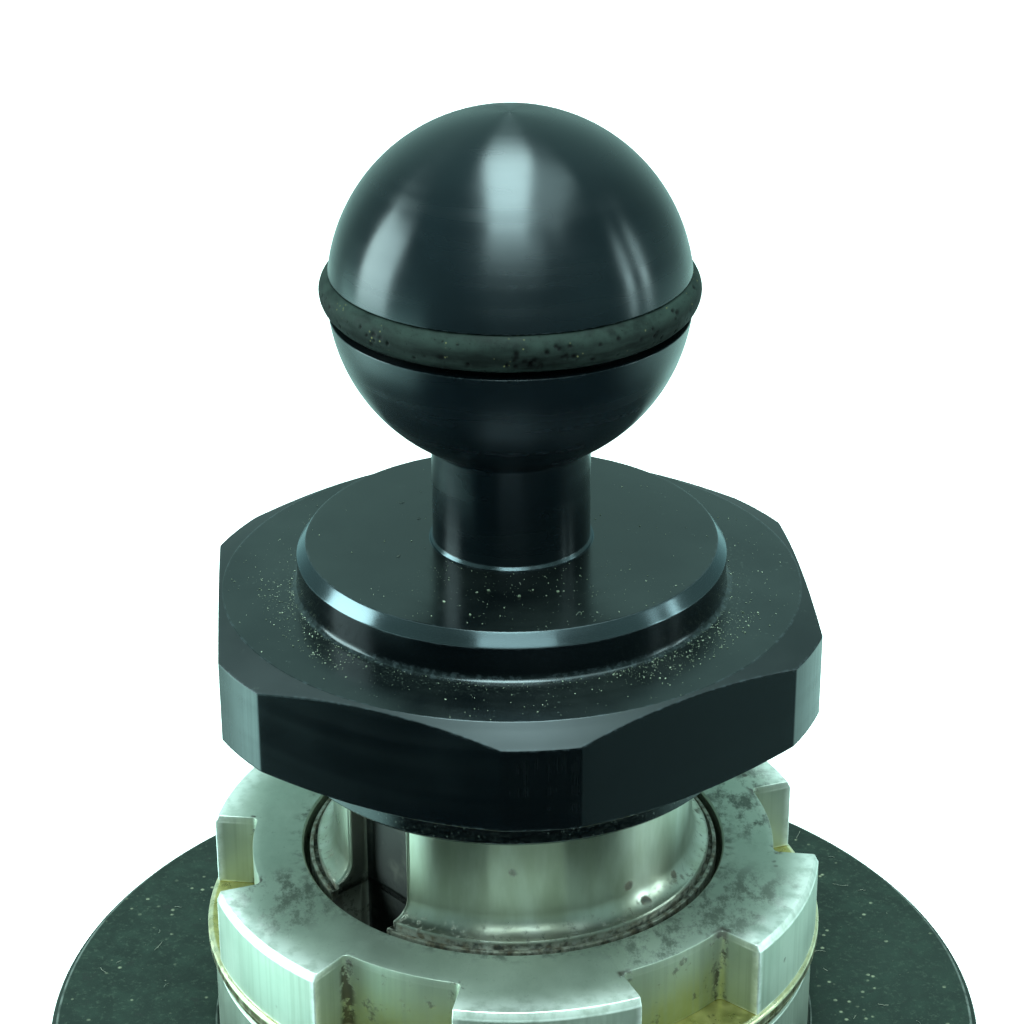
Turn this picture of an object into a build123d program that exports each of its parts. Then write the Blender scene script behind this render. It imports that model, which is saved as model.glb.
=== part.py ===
from build123d import *
from math import cos, pi, radians, sin, sqrt, tan
import os

# Ball mount on a rotating spindle.
#
# From the top: a one-inch ball with a rubber ring on its equator, on a slim stem; a hexagonal cap
# with a round boss; a polished hollow spindle with a keyway; a slotted lock ring on a keyed washer;
# and a round base disc. The spindle turns in two thin ball bearings, one above the other, in a
# housing that is screwed into the disc from below.
#
# Frame: millimetres, +Z up, origin at the centre of the face that the base stands on.
# Turns about Z are in degrees from -Y, the front, and are positive towards +X.

os.makedirs("parts", exist_ok=True)

# ---- Driving dimensions ------------------------------------------------------------------

# Ball and stem
ball_diameter = 25.4
o_ring_section = 2.62
o_ring_proud = 0.57           # the rubber ring stands this far out of the ball
o_ring_floor_gap = 0.05
o_ring_groove_spare = 0.54    # the groove is wider than the ring by this
o_ring_rise = 0.22            # the ring sits against the upper side of its groove
stem_diameter = 11.34
stem_length = 19.02           # from the boss top to the ball's centre
stem_socket_depth = 2.0
stem_socket_clearance = 0.05
stem_socket_chamfer = 0.2
shank_diameter = 7.9
shank_hole_clearance = 0.1
shank_end_chamfer = 0.6
nut_across_flats = 13.0
nut_height = 6.5
nut_corner_drop = 0.5
nut_thread_clearance = 0.05
nut_washer_overhang = 1.5     # beyond the nut's flats
nut_washer_hole_clearance = 0.3
nut_washer_thickness = 1.0
shank_below_nut = 1.0

# Hexagonal cap
hex_across_flats = 42.4
hex_height = 8.1
hex_corner_land = 1.9         # the turned-down corners stand this far out of the flats
hex_face_inset = 0.3          # the flat face is a circle this far inside the flats
hex_chamfer_drop = 0.97
hex_turn = 4.7
boss_diameter = 31.0
boss_height = 3.45
boss_chamfer_in = 0.67
boss_chamfer_drop = 0.93
boss_foot_fillet = 0.4
collar_wall = 3.25
collar_height = 4.3
collar_chamfer = 0.3
cap_crown_thickness = 7.25
cap_bore_clearance = 0.05
cap_bore_chamfer = 0.4
cap_end_gap = 0.5             # between the spindle's top and the crown

# Spindle
spindle_seat_diameter = 30.8  # bearing seats and lock-ring thread
neck_step = 1.9               # from the seat down to the neck
neck_gap = 9.5                # from the lock ring's top to the collar
neck_flare_radius = 1.5
neck_flare_lip = 0.2          # the flare stops this far short of its full arc
neck_flare_rise = 0.36        # the flare's foot stands this far above the seat's top
rim_groove_width = 0.35
rim_groove_undercut = 0.05    # the groove's inner wall leans in under the flare's lip
rim_groove_depth = 0.45
rim_chamfer = 0.15
spindle_bore_room = 1.5       # round the nut's washer, for a box spanner
spindle_flange_thickness = 2.2
spindle_flange_inset = 0.16   # inside the lower race's shoulder
spindle_end_chamfer = 0.6
keyway_width = 6.3
keyway_depth = 1.9            # below the neck's surface
keyway_turn = -48.5
keyway_end_above_race = 0.4

# Lock ring, with slots for a hook spanner
lock_ring_height = 5.95
lock_ring_slots = 6
lock_ring_wall = 3.83         # from the counterbore to the slots' floors
slot_depth = 3.42
slot_angle = 26.6
slot_turn = 36.0
slot_corner_fillet = 0.5
lug_chamfer_in = 0.3
lug_chamfer_drop = 0.55
thread_clearance = 0.05
thread_chamfer = 0.2
counterbore_clearance = 0.47
counterbore_depth = 1.5
counterbore_seat_rise = 0.4
counterbore_chamfer = 0.15
rim_below_ring_top = 0.15

# Washers and seal on the housing
tab_washer_overhang = 0.23    # beyond the lock ring
tab_washer_thickness = 1.2
tab_washer_edge_fillet = 0.25
tab_root = 0.5                # the tab starts this far inside the washer's ring
tab_side_clearance = 0.15
tab_floor_clearance = 0.4
washer_running_gap = 0.15
dust_ring_thickness = 0.7
dust_ring_inset = 0.8         # inside the housing's bore
seal_running_gap = 0.3
seal_fit = 0.05
seal_height = 0.75

# Bearings
bearing_width = 7.0
bearing_section = 5.52        # from bore to outside, measured along a radius
bearing_bore_clearance = 0.05
bearing_outer_clearance = 0.03
bearing_ball_radius = 1.5875
race_clearance = 0.1
race_shoulder = 0.75          # from the ball circle to each race's shoulder
race_chamfer = 0.3
balls_per_bearing = 22
cage_half_wall = 0.5
cage_height = 4.4
pocket_clearance = 0.05
race_spacer_thickness = 0.5
spacer_edge_gap = 0.15

# Housing, base disc, cover and gasket
housing_wall = 1.9
housing_top_above_race = 0.2
housing_top_chamfer = 0.25
housing_lip = 1.4             # under the lower bearing's outer race
housing_flange_width = 5.1
housing_flange_thickness = 2.7
disc_rim_width = 8.0          # from the housing's flange to the disc's edge
disc_thickness = 11.5
disc_edge_chamfer = 0.5
disc_bore_clearance = 0.05
disc_bore_chamfer = 0.2
cover_thickness = 1.5
cover_clearance = 0.5         # under the spindle's flange
cover_screw_count = 6
cover_screw_inset = 2.8       # from the flange's edge to the screws' axes
cover_screw_radius = 1.25
cover_screw_head_radius = 2.35
cover_screw_head_edge = 0.15
cover_screw_length = 8.0
cover_screw_clearance = 0.1
cover_screw_thread_clearance = 0.04
cover_screw_hole_spare = 0.5
cover_screw_socket = 1.5
cover_screw_socket_depth = 0.8
cover_screw_recess = 0.05
gasket_thickness = 1.0
gasket_edge = 0.6             # from the gasket to the cover's edge and to the disc's
mount_hole_count = 4
mount_hole_radius = 2.1       # tapping size for an M5 thread
mount_hole_depth = 8.0
mount_hole_turn = 45.0
gasket_hole_clearance = 0.65

# ---- Heights, stacked from the base up ----------------------------------------------------

disc_bottom = gasket_thickness
disc_top = disc_bottom + disc_thickness
flange_bottom = disc_bottom + cover_thickness
flange_top = flange_bottom + housing_flange_thickness
lower_bearing_bottom = flange_top
upper_bearing_bottom = lower_bearing_bottom + bearing_width + race_spacer_thickness
bearings_top = upper_bearing_bottom + bearing_width
housing_top = bearings_top + housing_top_above_race
dust_ring_top = housing_top + dust_ring_thickness
tab_washer_bottom = dust_ring_top + washer_running_gap
tab_washer_top = tab_washer_bottom + tab_washer_thickness
lock_ring_top = tab_washer_top + lock_ring_height
rim_top = lock_ring_top - rim_below_ring_top
collar_bottom = lock_ring_top + neck_gap
hex_bottom = collar_bottom + collar_height
hex_top = hex_bottom + hex_height
boss_top = hex_top + boss_height
crown_bottom = boss_top - cap_crown_thickness
spindle_top = crown_bottom - cap_end_gap
spindle_bottom = flange_bottom + cover_clearance
ball_center = boss_top + stem_length

# ---- Radii that fit to each other ---------------------------------------------------------

ball_radius = ball_diameter / 2
o_ring_circle_radius = ball_radius + o_ring_proud - o_ring_section / 2
ball_groove_floor_radius = o_ring_circle_radius - o_ring_section / 2 - o_ring_floor_gap
shank_radius = shank_diameter / 2
nut_corner_radius = nut_across_flats / sqrt(3)
nut_washer_radius = nut_across_flats / 2 + nut_washer_overhang

hex_face_radius = hex_across_flats / 2 - hex_face_inset
hex_corner_radius = hex_across_flats / 2 + hex_corner_land
boss_radius = boss_diameter / 2

seat_radius = spindle_seat_diameter / 2
neck_radius = seat_radius - neck_step
cap_bore_radius = neck_radius + cap_bore_clearance
collar_radius = cap_bore_radius + collar_wall
flare_lip_radius = neck_radius + neck_flare_radius - neck_flare_lip
rim_groove_radius = flare_lip_radius - rim_groove_undercut
keyway_floor_radius = neck_radius - keyway_depth
spindle_bore_radius = nut_washer_radius + spindle_bore_room

counterbore_radius = seat_radius + counterbore_clearance
slot_floor_radius = counterbore_radius + lock_ring_wall
lock_ring_radius = slot_floor_radius + slot_depth
tab_washer_radius = lock_ring_radius + tab_washer_overhang

race_bore_radius = seat_radius + bearing_bore_clearance
race_outer_radius = race_bore_radius + bearing_section
ball_circle_radius = (race_bore_radius + race_outer_radius) / 2
inner_shoulder_radius = ball_circle_radius - race_shoulder
outer_shoulder_radius = ball_circle_radius + race_shoulder
race_groove_radius = bearing_ball_radius + race_clearance
spindle_flange_radius = inner_shoulder_radius - spindle_flange_inset
thrust_spacer_radius = outer_shoulder_radius - seal_running_gap

housing_bore_radius = race_outer_radius + bearing_outer_clearance
housing_radius = housing_bore_radius + housing_wall
housing_lip_radius = housing_bore_radius - housing_lip
housing_flange_radius = housing_radius + housing_flange_width
dust_ring_bore_radius = housing_bore_radius - dust_ring_inset
disc_radius = housing_flange_radius + disc_rim_width
disc_recess_radius = housing_flange_radius + disc_bore_clearance
cover_screw_circle_radius = housing_flange_radius - cover_screw_inset
mount_circle_radius = (housing_flange_radius + disc_radius) / 2


# ---- Helpers ------------------------------------------------------------------------------

def direction(turn):
    """Unit vector in the XY plane, at a turn from the front."""
    return Vector(sin(radians(turn)), -cos(radians(turn)), 0)


def at(radius, turn, height):
    """Location at a radius, turned so that its local +X points outwards."""
    spot = direction(turn) * radius
    return Location((spot.X, spot.Y, height), (0, 0, turn - 90))


def lathe(points):
    """Solid of revolution about Z from a closed outline of (radius, height) points."""
    outline = Polyline(*[(r, 0, z) for r, z in points], close=True)
    return revolve(make_face(outline), Axis.Z)


def tube(inner, outer, bottom, top, chamfer_in=0.0):
    """Ring of rectangular section, with all four edges chamfered when asked for."""
    c = chamfer_in
    if c == 0:
        return lathe([(inner, bottom), (outer, bottom), (outer, top), (inner, top)])
    return lathe([
        (inner + c, bottom), (outer - c, bottom), (outer, bottom + c), (outer, top - c),
        (outer - c, top), (inner + c, top), (inner, top - c), (inner, bottom + c),
    ])


def rod(radius, bottom, top):
    """Plain cylinder about Z."""
    return Pos(0, 0, (bottom + top) / 2) * Cylinder(radius, top - bottom)


def hexagon_bar(across_flats, bottom, top, turn):
    """Hexagonal bar with one corner at a turn from the front."""
    outline = RegularPolygon(across_flats / 2, 6, major_radius=False)
    corner = outline.vertices()[0]
    first = Vector(corner.X, corner.Y, 0).get_signed_angle(Vector(1, 0, 0), Vector(0, 0, -1))
    return Pos(0, 0, bottom) * Rot(0, 0, turn - 90 - first) * extrude(outline, top - bottom)


def ring_of(shape, count, first_turn, radius, height):
    """The same solid repeated on a circle about Z."""
    return [at(radius, first_turn + k * 360 / count, height) * shape for k in range(count)]


def cut_each(shape, cuts):
    """The shape, less each of the cutting solids."""
    for cut in cuts:
        shape -= cut
    return shape


def save(name, shape):
    """Write one node, as a solid or as a group of separate solids."""
    solids = shape if isinstance(shape, list) else shape.solids()
    shape = solids[0] if len(solids) == 1 else Compound(children=list(solids))
    shape.label = name
    export_step(shape, f"parts/{name}.step")


# ---- Ball, stem and their fasteners -------------------------------------------------------

def ball_stud():
    half_groove = (o_ring_section + o_ring_groove_spare) / 2
    shank_bottom = crown_bottom - nut_washer_thickness - nut_height - shank_below_nut
    ball = Pos(0, 0, ball_center) * Sphere(ball_radius)
    groove = tube(ball_groove_floor_radius, ball_radius + 1,
                  ball_center - half_groove, ball_center + half_groove)
    stem = rod(stem_diameter / 2, boss_top - stem_socket_depth, ball_center)
    shank = lathe([
        (0, shank_bottom), (shank_radius - shank_end_chamfer, shank_bottom),
        (shank_radius, shank_bottom + shank_end_chamfer), (shank_radius, ball_center),
        (0, ball_center),
    ])
    return ball - groove + stem + shank


def ball_o_ring():
    return Pos(0, 0, ball_center + o_ring_rise) * Torus(o_ring_circle_radius, o_ring_section / 2)


def stud_washer():
    return tube(shank_radius + nut_washer_hole_clearance, nut_washer_radius,
                crown_bottom - nut_washer_thickness, crown_bottom)


def stud_nut():
    top = crown_bottom - nut_washer_thickness
    bottom = top - nut_height
    bar = hexagon_bar(nut_across_flats, bottom, top, hex_turn)
    ends = lathe([
        (0, bottom), (nut_across_flats / 2, bottom), (nut_corner_radius, bottom + nut_corner_drop),
        (nut_corner_radius, top - nut_corner_drop), (nut_across_flats / 2, top), (0, top),
    ])
    return (bar & ends) - rod(shank_radius + nut_thread_clearance, bottom, top)


# ---- Hexagonal cap ------------------------------------------------------------------------

def hex_cap():
    turned = lathe([
        (0, hex_bottom), (hex_face_radius, hex_bottom),
        (hex_corner_radius, hex_bottom + hex_chamfer_drop),
        (hex_corner_radius, hex_top - hex_chamfer_drop), (hex_face_radius, hex_top), (0, hex_top),
    ])
    flange = hexagon_bar(hex_across_flats, hex_bottom, hex_top, hex_turn) & turned
    boss = lathe([
        (0, hex_bottom), (boss_radius, hex_bottom), (boss_radius, boss_top - boss_chamfer_drop),
        (boss_radius - boss_chamfer_in, boss_top), (0, boss_top),
    ])
    foot = boss_foot_fillet
    foot_ring = tube(boss_radius - foot, boss_radius + foot, hex_top - foot, hex_top + foot)
    foot_ring -= Pos(0, 0, hex_top + foot) * Torus(boss_radius + foot, foot)
    collar = lathe([
        (0, collar_bottom), (collar_radius - collar_chamfer, collar_bottom),
        (collar_radius, collar_bottom + collar_chamfer), (collar_radius, hex_top), (0, hex_top),
    ])
    socket_radius = stem_diameter / 2 + stem_socket_clearance
    socket = lathe([
        (0, boss_top - stem_socket_depth), (socket_radius, boss_top - stem_socket_depth),
        (socket_radius, boss_top - stem_socket_chamfer),
        (socket_radius + stem_socket_chamfer, boss_top), (0, boss_top),
    ])
    bore = lathe([
        (0, collar_bottom), (cap_bore_radius + cap_bore_chamfer, collar_bottom),
        (cap_bore_radius, collar_bottom + cap_bore_chamfer), (cap_bore_radius, crown_bottom),
        (0, crown_bottom),
    ])
    shank_hole = rod(shank_radius + shank_hole_clearance, crown_bottom, boss_top)
    return flange + boss + foot_ring + collar - socket - bore - shank_hole


# ---- Spindle ------------------------------------------------------------------------------

def spindle_body():
    flange_face = lower_bearing_bottom
    groove_floor = rim_top - rim_groove_depth
    flare_center = (neck_radius + neck_flare_radius, rim_top + neck_flare_rise + neck_flare_radius)
    lip_height = flare_center[1] - sqrt(neck_flare_radius**2 - neck_flare_lip**2)
    middle = neck_flare_radius * sin(pi / 4)
    flare = ThreePointArc(
        (flare_lip_radius, 0, lip_height),
        (flare_center[0] - middle, 0, flare_center[1] - middle),
        (neck_radius, 0, flare_center[1]),
    )
    below = Polyline(*[(r, 0, z) for r, z in [
        (spindle_bore_radius, spindle_bottom),
        (spindle_flange_radius, spindle_bottom),
        (spindle_flange_radius, flange_face),
        (seat_radius, flange_face),
        (seat_radius, rim_top - rim_chamfer),
        (seat_radius - rim_chamfer, rim_top),
        (rim_groove_radius + rim_groove_width, rim_top),
        (rim_groove_radius + rim_groove_width, groove_floor),
        (rim_groove_radius, groove_floor),
        (flare_lip_radius, lip_height),
    ]])
    above = Polyline(*[(r, 0, z) for r, z in [
        (neck_radius, flare_center[1]),
        (neck_radius, spindle_top - spindle_end_chamfer),
        (neck_radius - spindle_end_chamfer, spindle_top),
        (spindle_bore_radius, spindle_top),
        (spindle_bore_radius, spindle_bottom),
    ]])
    return revolve(make_face(below + flare + above), Axis.Z)


def spindle():
    keyway_bottom = bearings_top + keyway_end_above_race
    length = spindle_top - keyway_bottom
    depth = spindle_flange_radius - keyway_floor_radius
    cutter = Box(depth, keyway_width, length, align=(Align.MIN, Align.CENTER, Align.MIN))
    return spindle_body() - at(keyway_floor_radius, keyway_turn, keyway_bottom) * cutter


# ---- Lock ring and washers ----------------------------------------------------------------

def lock_ring():
    bore = seat_radius + thread_clearance
    shoulder = lock_ring_top - counterbore_depth
    blank = lathe([
        (bore + thread_chamfer, tab_washer_top), (lock_ring_radius, tab_washer_top),
        (lock_ring_radius, lock_ring_top - lug_chamfer_drop),
        (lock_ring_radius - lug_chamfer_in, lock_ring_top),
        (counterbore_radius + counterbore_chamfer, lock_ring_top),
        (counterbore_radius, lock_ring_top - counterbore_chamfer),
        (counterbore_radius, shoulder), (bore, shoulder - counterbore_seat_rise),
        (bore, tab_washer_top + thread_chamfer),
    ])
    half = radians(slot_angle / 2)
    reach = lock_ring_radius + slot_depth
    wedge = make_face(Polyline((0, 0), (reach, -reach * tan(half)), (reach, reach * tan(half)),
                               close=True))
    slot = extrude(wedge, lock_ring_height) - rod(slot_floor_radius, 0, lock_ring_height)
    floor_edges = slot.edges().filter_by(Axis.Z).sort_by(lambda e: e.center().X)[:2]
    slot = fillet(floor_edges, slot_corner_fillet)
    return cut_each(blank, ring_of(slot, lock_ring_slots, slot_turn, 0, tab_washer_top))


def tab_washer():
    bore = seat_radius + thread_clearance
    washer = tube(bore, tab_washer_radius, tab_washer_bottom, tab_washer_top)
    rim = washer.edges().filter_by(GeomType.CIRCLE).sort_by(lambda e: e.radius)[-2:]
    washer = fillet(rim, tab_washer_edge_fillet)
    inner_end = keyway_floor_radius + tab_floor_clearance
    tab = Box(bore + tab_root - inner_end, keyway_width - 2 * tab_side_clearance,
              tab_washer_thickness, align=(Align.MIN, Align.CENTER, Align.MIN))
    return washer + at(inner_end, keyway_turn, tab_washer_bottom) * tab


def thrust_spacer():
    return tube(race_bore_radius, thrust_spacer_radius, bearings_top, tab_washer_bottom)


def dust_ring():
    return tube(dust_ring_bore_radius, housing_radius, housing_top, dust_ring_top)


def dust_seal():
    top = dust_ring_top - seal_fit
    return tube(thrust_spacer_radius + seal_running_gap, dust_ring_bore_radius - seal_fit,
                top - seal_height, top)


# ---- Bearings -----------------------------------------------------------------------------

def ball_track(bottom):
    return Pos(0, 0, bottom + bearing_width / 2) * Torus(ball_circle_radius, race_groove_radius)


def inner_race(bottom):
    blank = tube(race_bore_radius, inner_shoulder_radius, bottom, bottom + bearing_width,
                 race_chamfer)
    return blank - ball_track(bottom)


def outer_race(bottom):
    blank = tube(outer_shoulder_radius, race_outer_radius, bottom, bottom + bearing_width,
                 race_chamfer)
    return blank - ball_track(bottom)


def bearing_balls(bottom):
    ball = Sphere(bearing_ball_radius)
    return ring_of(ball, balls_per_bearing, 0, ball_circle_radius, bottom + bearing_width / 2)


def bearing_cage(bottom):
    middle = bottom + bearing_width / 2
    cage = tube(ball_circle_radius - cage_half_wall, ball_circle_radius + cage_half_wall,
                middle - cage_height / 2, middle + cage_height / 2)
    pocket = Rot(0, 90, 0) * Cylinder(bearing_ball_radius + pocket_clearance, 4 * cage_half_wall)
    return cut_each(cage, ring_of(pocket, balls_per_bearing, 0, ball_circle_radius, middle))


def race_spacers():
    bottom = lower_bearing_bottom + bearing_width
    inner = tube(race_bore_radius, inner_shoulder_radius - spacer_edge_gap, bottom,
                 upper_bearing_bottom)
    outer = tube(outer_shoulder_radius + spacer_edge_gap, race_outer_radius, bottom,
                 upper_bearing_bottom)
    return inner, outer


# ---- Housing, disc, cover and gasket ------------------------------------------------------

def screw_circle(shape, height):
    return ring_of(shape, cover_screw_count, 30, cover_screw_circle_radius, height)


def mount_circle(shape, height):
    return ring_of(shape, mount_hole_count, mount_hole_turn, mount_circle_radius, height)


def bearing_housing():
    c = housing_top_chamfer
    body = lathe([
        (housing_lip_radius, flange_bottom), (housing_flange_radius, flange_bottom),
        (housing_flange_radius, flange_top), (housing_radius, flange_top),
        (housing_radius, housing_top - c), (housing_radius - c, housing_top),
        (housing_bore_radius, housing_top), (housing_bore_radius, flange_top),
        (housing_lip_radius, flange_top),
    ])
    hole = Cylinder(cover_screw_radius + cover_screw_clearance, 2 * housing_flange_thickness)
    return cut_each(body, screw_circle(hole, (flange_bottom + flange_top) / 2))


def base_disc():
    bore = housing_radius + disc_bore_clearance
    c = disc_edge_chamfer
    body = lathe([
        (disc_recess_radius, disc_bottom), (disc_radius - c, disc_bottom),
        (disc_radius, disc_bottom + c), (disc_radius, disc_top - c), (disc_radius - c, disc_top),
        (bore + disc_bore_chamfer, disc_top), (bore, disc_top - disc_bore_chamfer),
        (bore, flange_top), (disc_recess_radius, flange_top),
    ])
    screw_end = disc_bottom + cover_screw_recess + cover_screw_length
    tapped_depth = screw_end + cover_screw_hole_spare - flange_top
    tapped = Cylinder(cover_screw_radius + cover_screw_thread_clearance, tapped_depth)
    body = cut_each(body, screw_circle(tapped, flange_top + tapped_depth / 2))
    mount = Cylinder(mount_hole_radius, mount_hole_depth)
    return cut_each(body, mount_circle(mount, disc_bottom + mount_hole_depth / 2))


def countersunk(radius, head_radius, top):
    """Countersunk screw shape, head down, with its head's face at height zero."""
    return lathe([
        (0, 0), (head_radius, 0), (head_radius, cover_screw_head_edge),
        (radius, cover_screw_head_edge + head_radius - radius), (radius, top), (0, top),
    ])


def bottom_cover():
    plate = rod(housing_flange_radius, disc_bottom, flange_bottom)
    gap = cover_screw_clearance
    hole = countersunk(cover_screw_radius + gap, cover_screw_head_radius + gap,
                       cover_screw_length)
    return cut_each(plate, screw_circle(hole, disc_bottom))


def cover_screws():
    screw = countersunk(cover_screw_radius, cover_screw_head_radius, cover_screw_length)
    socket = extrude(RegularPolygon(cover_screw_socket / 2, 6, major_radius=False),
                     cover_screw_socket_depth)
    return screw_circle(screw - socket, disc_bottom + cover_screw_recess)


def base_gasket():
    ring = tube(housing_flange_radius + gasket_edge, disc_radius - gasket_edge, 0, gasket_thickness)
    hole = Cylinder(mount_hole_radius + gasket_hole_clearance, 3 * gasket_thickness)
    return cut_each(ring, mount_circle(hole, gasket_thickness / 2))


# ---- Write every node ---------------------------------------------------------------------

save("ball_stud", ball_stud())
save("ball_o_ring", ball_o_ring())
save("stud_washer", stud_washer())
save("stud_nut", stud_nut())
save("hex_cap", hex_cap())
save("spindle", spindle())
save("lock_ring", lock_ring())
save("tab_washer", tab_washer())
save("thrust_spacer", thrust_spacer())
save("dust_ring", dust_ring())
save("dust_seal", dust_seal())

for level, race_bottom in (("upper", upper_bearing_bottom), ("lower", lower_bearing_bottom)):
    save(f"{level}_inner_race", inner_race(race_bottom))
    save(f"{level}_outer_race", outer_race(race_bottom))
    save(f"{level}_bearing_balls", bearing_balls(race_bottom))
    save(f"{level}_bearing_cage", bearing_cage(race_bottom))

inner_spacer, outer_spacer = race_spacers()
save("inner_race_spacer", inner_spacer)
save("outer_race_spacer", outer_spacer)
save("bearing_housing", bearing_housing())
save("base_disc", base_disc())
save("bottom_cover", bottom_cover())
save("cover_screws", cover_screws())
save("base_gasket", base_gasket())
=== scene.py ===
import random
from cmath import exp, phase
from math import acos, asin, cos, degrees, pi, radians, sin, sqrt, tan

import bmesh
import bpy
import numpy as np
from mathutils import Matrix, Vector


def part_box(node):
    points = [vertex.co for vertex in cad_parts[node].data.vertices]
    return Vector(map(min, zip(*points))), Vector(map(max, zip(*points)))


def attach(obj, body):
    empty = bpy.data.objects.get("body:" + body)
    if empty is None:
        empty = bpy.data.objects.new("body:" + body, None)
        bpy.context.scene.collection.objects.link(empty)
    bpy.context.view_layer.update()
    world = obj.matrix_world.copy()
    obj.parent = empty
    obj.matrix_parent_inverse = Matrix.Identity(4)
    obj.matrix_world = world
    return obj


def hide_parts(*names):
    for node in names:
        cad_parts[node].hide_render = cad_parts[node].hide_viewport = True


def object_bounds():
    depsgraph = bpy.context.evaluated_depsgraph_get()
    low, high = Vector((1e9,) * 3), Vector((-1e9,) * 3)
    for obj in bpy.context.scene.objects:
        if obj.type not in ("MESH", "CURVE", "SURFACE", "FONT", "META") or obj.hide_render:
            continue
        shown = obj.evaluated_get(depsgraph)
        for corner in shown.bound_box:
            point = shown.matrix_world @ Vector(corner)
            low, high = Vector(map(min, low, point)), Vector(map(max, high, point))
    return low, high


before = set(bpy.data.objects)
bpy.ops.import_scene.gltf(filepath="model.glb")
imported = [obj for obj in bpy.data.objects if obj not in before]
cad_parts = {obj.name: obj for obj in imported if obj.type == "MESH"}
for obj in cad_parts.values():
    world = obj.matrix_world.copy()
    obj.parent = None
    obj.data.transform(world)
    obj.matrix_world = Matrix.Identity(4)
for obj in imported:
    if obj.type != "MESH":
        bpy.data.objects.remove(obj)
cad_low, cad_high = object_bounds()

MM = 0.001


# ---- Places and sizes ----

def bottom_of(node):
    """Height of a node's lowest point."""
    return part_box(node)[0].z


def top_of(node):
    """Height of a node's highest point."""
    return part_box(node)[1].z


def front_radius(node):
    """How far a round node reaches from the axis towards the front."""
    return -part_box(node)[0].y


# Heights and radii that the frame's boxes give.
shank_bottom = bottom_of("ball_stud")
o_ring_radius = front_radius("ball_o_ring")
o_ring_section = (top_of("ball_o_ring") - bottom_of("ball_o_ring")) / 2
o_ring_center = (top_of("ball_o_ring") + bottom_of("ball_o_ring")) / 2
boss_top = top_of("hex_cap")
collar_bottom = bottom_of("hex_cap")
hex_corner_radius = front_radius("hex_cap")
spindle_bottom = bottom_of("spindle")
spindle_top = top_of("spindle")
spindle_flange_radius = front_radius("spindle")
ring_bottom = bottom_of("lock_ring")
ring_top = top_of("lock_ring")
ring_radius = front_radius("lock_ring")
washer_radius = front_radius("tab_washer")
washer_bottom = bottom_of("tab_washer")
housing_bottom = bottom_of("bearing_housing")
housing_top = top_of("bearing_housing")
housing_flange_radius = front_radius("bearing_housing")
wall_radius = front_radius("dust_ring")
dust_ring_top = top_of("dust_ring")
disc_bottom = bottom_of("base_disc")
disc_top = top_of("base_disc")
disc_radius = front_radius("base_disc")
gasket_bottom = bottom_of("base_gasket")
gasket_radius = front_radius("base_gasket")
bearings_top = top_of("upper_inner_race")

# Sizes of the model that the boxes don't show.
ball_radius = 12.7 * MM
stem_radius = 5.67 * MM
shank_radius = 3.95 * MM
socket_radius = 5.72 * MM
socket_depth = 2.0 * MM
groove_lip = 1.58 * MM
groove_floor_radius = 10.6 * MM
boss_radius = 15.5 * MM
boss_height = 3.45 * MM
boss_chamfer_in = 0.67 * MM
boss_chamfer_drop = 0.93 * MM
hex_face_radius = 20.9 * MM
hex_flat_distance = 21.2 * MM
hex_height = 8.1 * MM
hex_chamfer_drop = 0.97 * MM
hex_turn = 4.7
collar_radius = 16.8 * MM
cap_bore_radius = 13.55 * MM
crown_bottom = 46.0 * MM
neck_radius = 13.5 * MM
seat_radius = 15.4 * MM
spindle_bore_radius = 9.5 * MM
spindle_flange_top = 5.2 * MM
rim_top = 27.75 * MM
flare_radius = 1.5 * MM
flare_rise = 0.36 * MM
flare_lip = 0.2 * MM
rim_groove_in = 14.75 * MM
rim_groove_out = 15.1 * MM
rim_groove_depth = 0.45 * MM
keyway_half_width = 3.15 * MM
keyway_floor = 11.6 * MM
keyway_turn = -48.5
keyway_end_above_race = 0.4 * MM
slot_floor_radius = 19.7 * MM
slot_half_angle = 13.3
slot_turn = 36.0
slot_count = 6
slot_fillet = 0.5 * MM
lug_chamfer_in = 0.3 * MM
lug_chamfer_drop = 0.55 * MM
counterbore_radius = 15.87 * MM
counterbore_depth = 1.5 * MM
ring_bore_radius = 15.45 * MM
tab_tip_radius = 12.0 * MM
tab_half_width = 3.0 * MM
housing_bore_radius = 21.0 * MM
housing_lip_radius = 19.6 * MM
housing_flange_top = 5.2 * MM
dust_ring_bore = 20.2 * MM
disc_bore_gap = 0.05 * MM
gasket_inner_radius = 28.6 * MM

ball_center = top_of("ball_stud") - ball_radius
hex_top = boss_top - boss_height
hex_bottom = hex_top - hex_height
keyway_bottom = bearings_top + keyway_end_above_race
boss_chamfer_bottom = boss_top - boss_chamfer_drop
socket_bottom = boss_top - socket_depth


# ---- Outlines and meshes ----

COLUMNS = 288
FILLET_STEPS = 4
WELD = 1e-8


def heading(turn):
    """Angle about +Z of a turn in degrees from the front (-Y) towards +X."""
    return radians(turn - 90)


def corner(here, back, ahead, fillet, steps=FILLET_STEPS):
    """Rounds a corner of an outline of complex points. back and ahead are unit steps away from it."""
    half = abs(phase(ahead / back)) / 2
    reach = fillet / tan(half)
    centre = here + (back + ahead) / abs(back + ahead) * fillet / sin(half)
    first = here + back * reach - centre
    turn = phase((here + ahead * reach - centre) / first)
    return [centre + first * exp(1j * turn * k / steps) for k in range(steps + 1)]


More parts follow.
